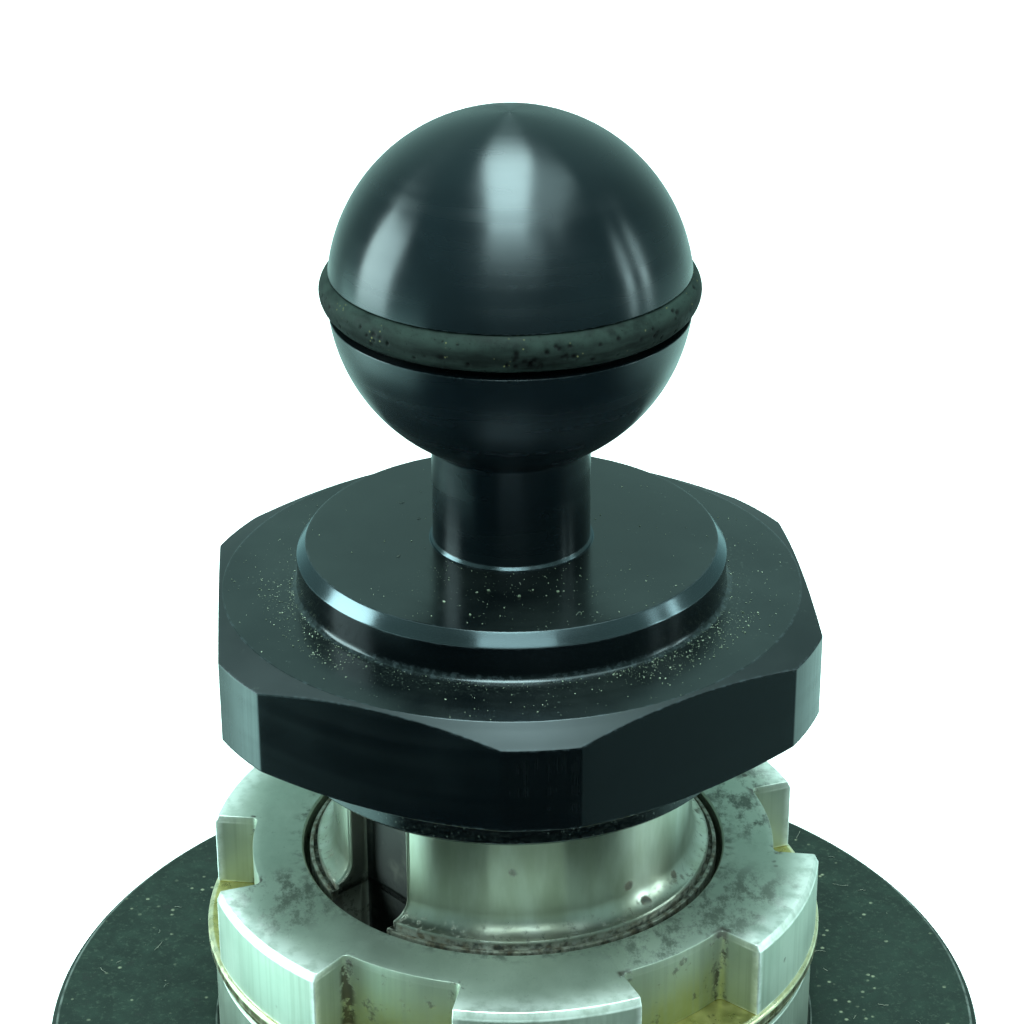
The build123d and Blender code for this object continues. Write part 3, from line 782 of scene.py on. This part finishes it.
def hex_columns():
    """Turns of the hexagon's columns, close together at the edges of its flats."""
    flat_half = degrees(acos(hex_flat_distance / hex_corner_radius))
    edge_half = 0.25
    spans = ((-flat_half + edge_half, flat_half - edge_half, 22),
             (flat_half - 0.75 * edge_half, flat_half + edge_half, 5),
             (flat_half + 2 * edge_half, 60 - flat_half - 2 * edge_half, 12),
             (60 - flat_half - edge_half, 60 - flat_half + 0.75 * edge_half, 5))
    middles = [hex_turn + 30 + 60 * k for k in range(6)]
    return [turn + middle for middle in middles for span in spans for turn in np.linspace(*span)]


def hex_reach(turn):
    """Distance from the axis to the hexagon's side, with its corners turned down and edges eased."""
    from_flat = radians((turn - hex_turn) % 60 - 30)
    ease = 0.012 * MM
    flat = hex_flat_distance / cos(from_flat)
    over = (flat - hex_corner_radius) / ease
    return hex_corner_radius - ease * np.log1p(np.exp(-over))


def hex_cap():
    """Hexagon with turned-down corners, a chamfered boss above it and a hollow collar below."""
    soft = 0.09 * MM
    step = 0.3 * MM
    bore_chamfer = 0.4 * MM
    hole_radius = shank_radius + 0.1 * MM
    columns = []
    turns = hex_columns()
    for turn in turns:
        reach = float(hex_reach(turn))
        drop = hex_chamfer_drop * (reach - hex_face_radius) / (hex_corner_radius - hex_face_radius)
        columns.append(rounded([
            (socket_radius, socket_bottom, 0), (socket_radius, boss_top - 0.12 * MM, soft),
            (socket_radius + 0.12 * MM, boss_top, soft), (boss_radius - boss_chamfer_in, boss_top, soft),
            (boss_radius, boss_chamfer_bottom, soft), (boss_radius, hex_top, 0.4 * MM),
            (hex_face_radius, hex_top, soft), (reach, hex_top - drop, soft),
            (reach, hex_bottom + drop, soft), (hex_face_radius, hex_bottom, soft),
            (collar_radius, hex_bottom, step), (collar_radius, collar_bottom + step, soft),
            (collar_radius - step, collar_bottom, soft),
            (cap_bore_radius + bore_chamfer, collar_bottom, soft),
            (cap_bore_radius, collar_bottom + bore_chamfer, soft), (cap_bore_radius, crown_bottom, step),
            (hole_radius, crown_bottom, soft), (hole_radius, socket_bottom, 0),
        ]))
    angles = np.array([heading(t) for t in turns])
    points = np.array([[p for p, _ in column] for column in columns]).T
    edges = np.array([[e for _, e in column] for column in columns]).T
    return grid_mesh("hex_cap_mesh", polar(points.real, angles, points.imag), edges)


piece("hex_cap_turned", hex_cap(), "turning_head", anodised_cap, "black_anodised", "hex_cap")


# ---- Spindle ----

def notched_circle(radius, notched=True):
    """Points round the spindle at a radius. The keyway's columns are kept where there is no keyway too."""
    soft = 0.15 * MM
    half = asin(keyway_half_width / radius)
    edge = radius * exp(1j * half)
    margin = 0.012
    count = COLUMNS - 24
    rim = [radius * exp(1j * (half + margin + (2 * pi - 2 * half - 2 * margin) * k / (count - 1)))
           for k in range(count)]
    if not notched:
        return rim + [radius * exp(1j * a) for a in np.linspace(-half, half, 2 * FILLET_STEPS + 16)]
    near = corner(edge.conjugate(), -1j * exp(-1j * half), -1.0 + 0j, soft)
    wall = [complex(edge.real - soft - (edge.real - soft - keyway_floor) * k / 4, -keyway_half_width)
            for k in range(1, 4)]
    floor = [complex(keyway_floor, -keyway_half_width + 2 * keyway_half_width * k / 7) for k in range(8)]
    way_in = near + wall
    way_out = [p.conjugate() for p in reversed(way_in)]
    return rim + way_in + floor + way_out


def spindle():
    """Hollow spindle: a flange, a seat and a flared neck, with a keyway cut into one side."""
    soft = 0.08 * MM
    flare_center = (neck_radius + flare_radius, rim_top + flare_rise + flare_radius)
    lip_angle = -90 - degrees(asin(flare_lip / flare_radius))
    lip_x = flare_center[0] - flare_lip
    lip_y = flare_center[1] - sqrt(flare_radius**2 - flare_lip**2)
    end = 0.6 * MM
    below = rounded([
        (spindle_bore_radius, spindle_bottom, soft), (spindle_flange_radius, spindle_bottom, soft),
        (spindle_flange_radius, spindle_flange_top, soft), (seat_radius, spindle_flange_top, 0),
        (seat_radius, keyway_bottom - 0.01 * MM, 0),
    ], closed=False)
    above = rounded([
        (seat_radius, keyway_bottom, 0), (seat_radius, rim_top, 0.15 * MM),
        (rim_groove_out, rim_top, 0.05 * MM),
        (rim_groove_out, rim_top - rim_groove_depth, 0), (rim_groove_in, rim_top - rim_groove_depth, 0),
        (lip_x, lip_y, 0.05 * MM), (lip_x - 0.3 * MM, lip_y - 0.02 * MM, 0),
    ], margin=0.04 * MM, closed=False)[:-1]
    flare = arc(flare_center, flare_radius, lip_angle, -180, 12)
    top = rounded([
        (neck_radius, flare_center[1] + 0.1 * MM, 0), (neck_radius, spindle_top - end, soft),
        (neck_radius - end, spindle_top, soft), (spindle_bore_radius, spindle_top, soft),
        (spindle_bore_radius, spindle_bottom, soft),
    ], closed=False)
    rows = [(p, e, False) for p, e in below] + [(p, e, True) for p, e in above + flare + top]
    turn = exp(1j * heading(keyway_turn))
    loops = [(notched_circle(p.real, notched and p.real >= keyway_floor), p.imag) for p, _, notched in rows]
    grid = np.array([[[(q * turn).real, (q * turn).imag, height] for q in loop] for loop, height in loops])
    edges = np.array([e for _, e, _ in rows])[:, None] + np.zeros(grid.shape[1])
    return grid_mesh("spindle_mesh", grid, edges)


piece("spindle_ground", spindle(), "turning_head", steel, "polished_steel", "spindle")


# ---- Lock ring ----

def ring_outline(lug_radius, inset):
    """Points round the slotted ring, moved inwards by the inset, and a 1 for each on a rounded edge."""
    floor = slot_floor_radius - inset
    lug_fillet = 0.12 * MM
    lug_steps = 16
    half = radians(slot_half_angle)
    lug_width = pi / slot_count - half
    wall = exp(-1j * half)
    away = -1j * wall
    outer = wall * sqrt(lug_radius**2 - inset**2) + away * inset
    inner = wall * sqrt(floor**2 - inset**2) + away * inset
    edge = corner(outer, -1j * outer / abs(outer), -wall, lug_fillet)
    sweep = phase(edge[0]) + half + lug_width
    lug = [lug_radius * exp(1j * (-half - lug_width + sweep * i / lug_steps)) for i in range(lug_steps)]
    inner_corner = corner(inner, wall, 1j * inner / abs(inner), slot_fillet, 6)
    side = [edge[-1] + (inner_corner[0] - edge[-1]) * i / 5 for i in range(1, 5)]
    half_floor = [floor * exp(1j * phase(inner_corner[-1]) * (1 - i / 8)) for i in range(1, 8)]
    path = lug + edge + side + inner_corner + half_floor
    marks = [0.0] * len(lug) + [1.0] * len(edge) + [0.0] * (len(path) - len(lug) - len(edge))
    path = path + [complex(floor, 0)] + [p.conjugate() for p in reversed(path)]
    marks = marks + [0.0] + marks[::-1]
    slots = [exp(1j * heading(slot_turn + 360 / slot_count * k)) for k in range(slot_count)]
    return np.array([p * slot for slot in slots for p in path]), np.array(marks * slot_count)


def lock_ring():
    """Slotted ring with chamfered lugs and a counterbore."""
    soft = 0.07 * MM
    chamfer_bottom = ring_top - lug_chamfer_drop
    core_radius = slot_floor_radius - 0.6 * MM
    quarter = [pi / 2 * k / FILLET_STEPS for k in range(FILLET_STEPS + 1)]
    rows = [(ring_bottom + soft * (1 - cos(a)), ring_radius, soft * (1 - sin(a)), 1.0) for a in quarter]
    rows += [(z, ring_radius, 0.0, 0.0) for z in (ring_bottom + 3 * soft, chamfer_bottom - 2 * soft)]
    rows += [(chamfer_bottom + rise * soft, ring_radius - inset * MM, 0.0, edge)
             for rise, inset, edge in ((-0.5, 0.01, 1.0), (0.5, 0.05, 1.0), (1.5, 0.09, 0.6))]
    for a in quarter:
        drop = soft * (1 - sin(a))
        rows.append((ring_top - drop, ring_radius - lug_chamfer_in + drop * 0.5, soft * (1 - cos(a)), 1.0))
    grid = []
    edges = []
    for z, radius, inset, edge in rows:
        points, marks = ring_outline(radius - inset, inset)
        grid.append(np.stack([points.real, points.imag, z + 0 * points.real], axis=1))
        edges.append(np.maximum(marks, edge))
    angles = np.angle(points)
    inner = rounded([
        (core_radius, ring_top, 0), (counterbore_radius + 0.15 * MM, ring_top, soft),
        (counterbore_radius, ring_top - 0.15 * MM, soft),
        (counterbore_radius, ring_top - counterbore_depth, 0),
        (ring_bore_radius, ring_top - counterbore_depth - 0.4 * MM, soft),
        (ring_bore_radius, ring_bottom + 0.2 * MM, soft), (ring_bore_radius + 0.2 * MM, ring_bottom, soft),
        (core_radius, ring_bottom, 0),
    ], closed=False)
    for p, edge in inner:
        grid.append(polar(p.real, angles, p.imag))
        edges.append(np.full(len(angles), edge))
    return grid_mesh("lock_ring_mesh", np.array(grid), np.array(edges))


piece("lock_ring_slotted", lock_ring(), "turning_head", aluminium, "satin_aluminium", "lock_ring")


# ---- Washers, housing, disc and gasket ----

def flat_ring(name, inner, outer, bottom, top, fillet):
    """Mesh of a flat ring, its outer edges rounded by the fillet."""
    soft = 0.08 * MM
    return lathe(name, rounded([(inner, bottom, soft), (outer, bottom, fillet), (outer, top, fillet),
                                (inner, top, soft)]))


def tab_washer():
    """Washer with a tab that reaches into the spindle's keyway."""
    mesh = flat_ring("tab_washer_mesh", ring_bore_radius, washer_radius, washer_bottom, ring_bottom,
                     0.32 * MM)
    work = bmesh.new()
    work.from_mesh(mesh)
    made = bmesh.ops.create_cube(work, size=1)["verts"]
    length = ring_bore_radius + 0.5 * MM - tab_tip_radius
    size = Matrix.Diagonal((length, 2 * tab_half_width, ring_bottom - washer_bottom, 1))
    place = Matrix.Translation((tab_tip_radius + length / 2, 0, (ring_bottom + washer_bottom) / 2))
    bmesh.ops.transform(work, matrix=Matrix.Rotation(heading(keyway_turn), 4, "Z") @ place @ size, verts=made)
    bmesh.ops.bevel(work, geom=[e for e in work.edges if all(v in made for v in e.verts)], offset=0.18 * MM,
                    segments=4, profile=0.5, affect="EDGES")
    work.to_mesh(mesh)
    work.free()
    mesh.shade_smooth()
    return mesh


def housing():
    """Bearing housing: a tube with a flange under the disc and a lip that holds the bearings."""
    soft = 0.08 * MM
    return lathe("housing_mesh", rounded([
        (housing_lip_radius, housing_bottom, soft), (housing_flange_radius, housing_bottom, soft),
        (housing_flange_radius, housing_flange_top, soft), (wall_radius, housing_flange_top, 0.2 * MM),
        (wall_radius, housing_top - 0.25 * MM, soft), (wall_radius - 0.25 * MM, housing_top, soft),
        (housing_bore_radius, housing_top, soft), (housing_bore_radius, housing_flange_top, soft),
        (housing_lip_radius, housing_flange_top, soft),
    ]))


def base_disc():
    """Thick disc that fits over the housing and its flange."""
    soft = 0.15 * MM
    bore = wall_radius + disc_bore_gap
    recess = housing_flange_radius + disc_bore_gap
    chamfer = 0.5 * MM
    rows = rounded([
        (recess, disc_bottom, soft), (disc_radius - chamfer, disc_bottom, soft),
        (disc_radius, disc_bottom + chamfer, soft), (disc_radius, disc_top - chamfer, soft),
        (disc_radius - chamfer, disc_top, soft), (bore + 0.2 * MM, disc_top, soft),
        (bore, disc_top - 0.2 * MM, soft), (bore, housing_flange_top, 0), (recess, housing_flange_top, 0),
    ])
    return lathe("base_disc_mesh", rows, columns=360)


piece("tab_washer_pressed", tab_washer(), "turning_head", zinc, "yellow_zinc", "tab_washer")
dust_ring = flat_ring("dust_ring_mesh", dust_ring_bore, wall_radius, housing_top, dust_ring_top, 0.2 * MM)
gasket = flat_ring("base_gasket_mesh", gasket_inner_radius, gasket_radius, gasket_bottom, disc_bottom,
                   0.2 * MM)
piece("dust_ring_pressed", dust_ring, "base", zinc, "yellow_zinc", "dust_ring")
piece("bearing_housing_turned", housing(), "base", housing_aluminium, "satin_aluminium", "bearing_housing")
piece("base_disc_painted", base_disc(), "base", disc_paint, "matt_black_disc", "base_disc")
piece("base_gasket_sheet", gasket, "base", sheet_rubber, "rubber", "base_gasket")


# ---- Nodes that keep their CAD shape ----

def dress(material, *nodes):
    """Gives the CAD nodes a material in place of their own."""
    for node in nodes:
        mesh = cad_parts[node].data
        mesh.materials.clear()
        mesh.materials.append(material)


race_steel = bearing_steel("race_steel")
brass = bearing_steel("cage_brass", (0.62, 0.47, 0.22), 0.25)
bright = bearing_steel("bright_steel", (0.55, 0.56, 0.55), 0.22)
cover_metal = bearing_steel("cover_metal", (0.50, 0.53, 0.50), 0.34)
dress(race_steel, "upper_inner_race", "upper_outer_race", "upper_bearing_balls", "lower_inner_race",
      "lower_outer_race", "lower_bearing_balls", "inner_race_spacer", "outer_race_spacer")
dress(brass, "upper_bearing_cage", "lower_bearing_cage")
dress(bright, "stud_nut", "stud_washer", "cover_screws", "thrust_spacer")
dress(cover_metal, "bottom_cover")
dress(sheet_rubber, "dust_seal")


# ---- Dust and lint ----

def grains(name, places, body, material, slot):
    """One mesh of small angular grains. places is a list of (x, y, z, size)."""
    rng = random.Random(11)
    work = bmesh.new()
    for x, y, z, size in places:
        turn = Matrix.Rotation(rng.uniform(0, 2 * pi), 4, Vector((rng.uniform(-1, 1), rng.uniform(-1, 1), 1)))
        stretch = Matrix.Diagonal((rng.uniform(0.6, 1.5), rng.uniform(0.5, 1.1), rng.uniform(0.4, 0.8), 1))
        place = Matrix.Translation((x, y, z + 0.2 * size))
        bmesh.ops.create_icosphere(work, subdivisions=1, radius=size / 2, matrix=place @ turn @ stretch)
    mesh = bpy.data.meshes.new(name)
    work.to_mesh(mesh)
    work.free()
    return piece(name, mesh, body, material, slot)


def scatter(count, inner, outer, height, sizes, power=1.0, turns=(0, 360), seed=1):
    """Random places between two radii on a level face, with sizes in mm.
    A power over 1 crowds them towards the inner radius."""
    rng = random.Random(seed)
    least, most = (size * MM for size in sizes)
    places = []
    for _ in range(count):
        radius = inner + (outer - inner) * rng.random()**power
        angle = heading(rng.uniform(*turns))
        size = least + (most - least) * rng.random()**3
        places.append((radius * cos(angle), radius * sin(angle), height, size))
    return places


boss_foot = boss_radius + 0.35 * MM
haze_edge = boss_radius + 3 * MM
stem_foot = stem_radius + 0.4 * MM
boss_edge = boss_radius - 0.9 * MM
cap_dust = (
    (1100, boss_foot, hex_face_radius, hex_top, (0.025, 0.12), 2.6, (0, 360), 2),
    (420, boss_foot, haze_edge, hex_top, (0.03, 0.15), 1.2, (25, 72), 3),
    (300, boss_foot, haze_edge, hex_top, (0.03, 0.14), 1.2, (-90, -40), 4),
    (320, stem_foot, boss_edge, boss_top, (0.025, 0.11), 1.1, (-50, 60), 5),
    (6, stem_radius + 2.5 * MM, boss_radius - 2 * MM, boss_top, (0.2, 0.36), 1.0, (-25, 40), 13),
    (70, stem_foot, boss_edge, boss_top, (0.03, 0.14), 1.0, (70, 290), 6),
)
pale_dust = dust_grain("pale_dust")
cap_places = [place for patch in cap_dust for place in scatter(*patch)]
grains("cap_dust", cap_places, "turning_head", pale_dust, "black_anodised")
disc_places = scatter(700, wall_radius + 0.5 * MM, disc_radius - 0.7 * MM, disc_top, (0.03, 0.12), 0.7,
                      seed=8)
grains("disc_dust", disc_places, "base", dust_grain("dull_dust", 0.3), "matt_black_disc")


def fibres(name, places, body, material, slot):
    """Thin curled fibres that lie on a level face. places is a list of (x, y, z, length)."""
    rng = random.Random(23)
    thickness = 0.035 * MM
    points = 9
    verts = []
    faces = []
    for x, y, z, length in places:
        here = complex(x, y)
        way = rng.uniform(0, 2 * pi)
        curl = rng.uniform(-2.6, 2.6) / points
        for k in range(points):
            lift = thickness / 2 + 0.12 * MM * sin(pi * k / (points - 1)) * rng.uniform(0.2, 1.0)
            across = 1j * exp(1j * way) * thickness / 2
            base = len(verts)
            verts += [((here + across * u).real, (here + across * u).imag, z + lift + thickness / 2 * v)
                      for u, v in ((1, 0), (0, 1), (-1, 0), (0, -1))]
            if k:
                faces += [(base + i - 4, base + (i + 1) % 4 - 4, base + (i + 1) % 4, base + i)
                          for i in range(4)]
            way += curl + rng.uniform(-0.2, 0.2)
            here += exp(1j * way) * length / points
        start = len(verts) - 4 * points
        faces += [(start + 3, start + 2, start + 1, start), tuple(range(len(verts) - 4, len(verts)))]
    mesh = bpy.data.meshes.new(name)
    mesh.from_pydata(verts, [], faces)
    mesh.shade_smooth()
    return piece(name, mesh, body, material, slot)


lint = lint_fibre("lint_fibre")
disc_lint = scatter(90, wall_radius + 1 * MM, disc_radius - 2 * MM, disc_top, (0.6, 2.6), 0.7, seed=9)
fibres("disc_lint", disc_lint, "base", lint, "matt_black_disc")
cap_lint = scatter(7, stem_radius + 1 * MM, boss_radius - 2 * MM, boss_top, (0.3, 0.9), seed=12)
fibres("cap_lint", cap_lint, "turning_head", lint, "black_anodised")


# ---- Floor, lights and camera ----

def floor():
    """Level square under the part, kept out of reflections."""
    mesh = bpy.data.meshes.new("floor")
    reach = 6.0
    mesh.from_pydata([(-reach, -reach, 0), (reach, -reach, 0), (reach, reach, 0), (-reach, reach, 0)], [],
                     [(0, 1, 2, 3)])
    thing = placed("floor", mesh)
    mesh.materials.append(pale_floor("pale_floor"))
    thing.location.z = cad_low.z - 0.0001
    thing.visible_glossy = False


LIGHT_TINT = (0.74, 1.0, 0.96)
ROOM_TINT = (0.57, 1.0, 0.92)


def soft_light(name, place, target, width, length, radiance):
    """Rectangular soft light of that radiance, facing the target, its length upright or to the back."""
    data = bpy.data.lights.new(name, "AREA")
    data.shape = "RECTANGLE"
    data.size = width
    data.size_y = length
    data.color = LIGHT_TINT
    data.energy = radiance * pi * width * length
    thing = placed(name, data)
    thing.location = place
    thing.rotation_euler = (Vector(target) - Vector(place)).to_track_quat("-Z", "Y").to_euler()


def studio():
    """Lights, and a room whose brightness goes by direction: dark low in front, bright low on the left."""
    world = bpy.data.worlds.new("studio")
    bpy.context.scene.world = world
    world.use_nodes = True
    room = Nodes(world.node_tree)
    x, y, z = room.split(room.node("TexCoord").outputs["Generated"])
    behind = room.ramp(y, -0.45, 0.2)
    below = room.blend(behind, 0.02, room.blend(room.ramp(x, 0.0, 0.6), 1.0, 1.4))
    below = room.blend(room.ramp(x, -0.72, -0.83), below, 4.3)
    below = room.blend(room.ramp(z, -0.5, -0.68), below, 0.03)
    beside = room.node("Math", x, operation="ABSOLUTE").outputs[0]
    above = room.blend(room.ramp(beside, 0.45, 0.8), room.blend(behind, 0.26, 0.70), 0.40)
    background = world.node_tree.nodes["Background"]
    room.fill(background.inputs["Color"], ROOM_TINT)
    room.fill(background.inputs["Strength"], room.blend(room.ramp(z, -0.34, -0.08), below, above))
    ball = (0, 0, ball_center)
    soft_light("overhead_light", (-0.012, -0.09, 0.75), (-0.012, -0.09, 0), 0.28, 0.72, 18.5)
    soft_light("overhead_right_light", (0.28, -0.10, 0.75), (0.28, -0.10, 0), 0.26, 0.60, 3.6)
    soft_light("front_light", (0.04, -0.69, 0.75), (0.04, -0.69, 0), 0.60, 0.26, 4.4)
    soft_light("left_light", (-0.60, 0.04, 0.19), ball, 0.29, 0.42, 11.0)
    soft_light("right_light", (0.61, -0.11, 0.17), ball, 0.055, 0.34, 9.0)
    soft_light("second_right_light", (0.61, 0.03, 0.17), ball, 0.055, 0.30, 9.0)


def camera():
    """Long lens in front of the part, looking down at it."""
    lens = 99.77
    sensor = 36.0
    pitch = 25.74
    yaw = 0.013
    roll = 0.263
    back = 183.45 * MM
    above_disc = 131.02 * MM
    data = bpy.data.cameras.new("camera")
    data.lens = lens
    data.sensor_width = sensor
    data.clip_start = 0.005
    data.clip_end = 20
    thing = placed("camera", data)
    look = Matrix.Rotation(radians(-yaw), 4, "Z") @ Matrix.Rotation(radians(90 - pitch), 4, "X")
    look = look @ Matrix.Rotation(radians(-roll), 4, "Z")
    thing.matrix_world = Matrix.Translation((0, -back, disc_top + above_disc)) @ look
    bpy.context.scene.camera = thing


floor()
studio()
camera()
bpy.context.scene.view_settings.view_transform = "Standard"
bpy.context.view_layer.update()
